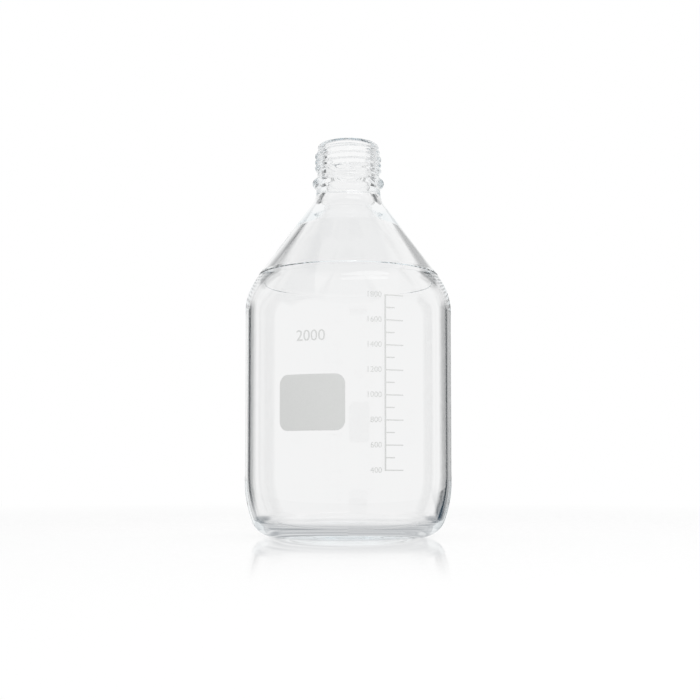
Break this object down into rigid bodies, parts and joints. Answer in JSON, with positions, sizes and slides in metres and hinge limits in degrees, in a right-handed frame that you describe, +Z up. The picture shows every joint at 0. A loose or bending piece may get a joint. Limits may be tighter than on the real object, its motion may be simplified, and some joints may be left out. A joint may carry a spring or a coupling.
{
  "type": "media bottle",
  "caption": "Round clear glass media bottle with a screw neck, a rounded shoulder under a conical one, an upright graduation scale and a write-on patch, shown uncapped and empty.",
  "frame": {"origin": "centre of the ring that the bottle stands on", "axes": "+Z up the bottle's axis through the mouth, -Y to the front, which is the side between the write-on patch and the scale"},
  "size_m": [0.136, 0.1361, 0.26],
  "materials": {
    "glass": "polished",
    "enamel": "satin"
  },
  "bodies": {
    "root": {"bottle": "glass", "graduation_scale": "enamel", "marking_patch": "enamel"}
  },
  "joints": []
}
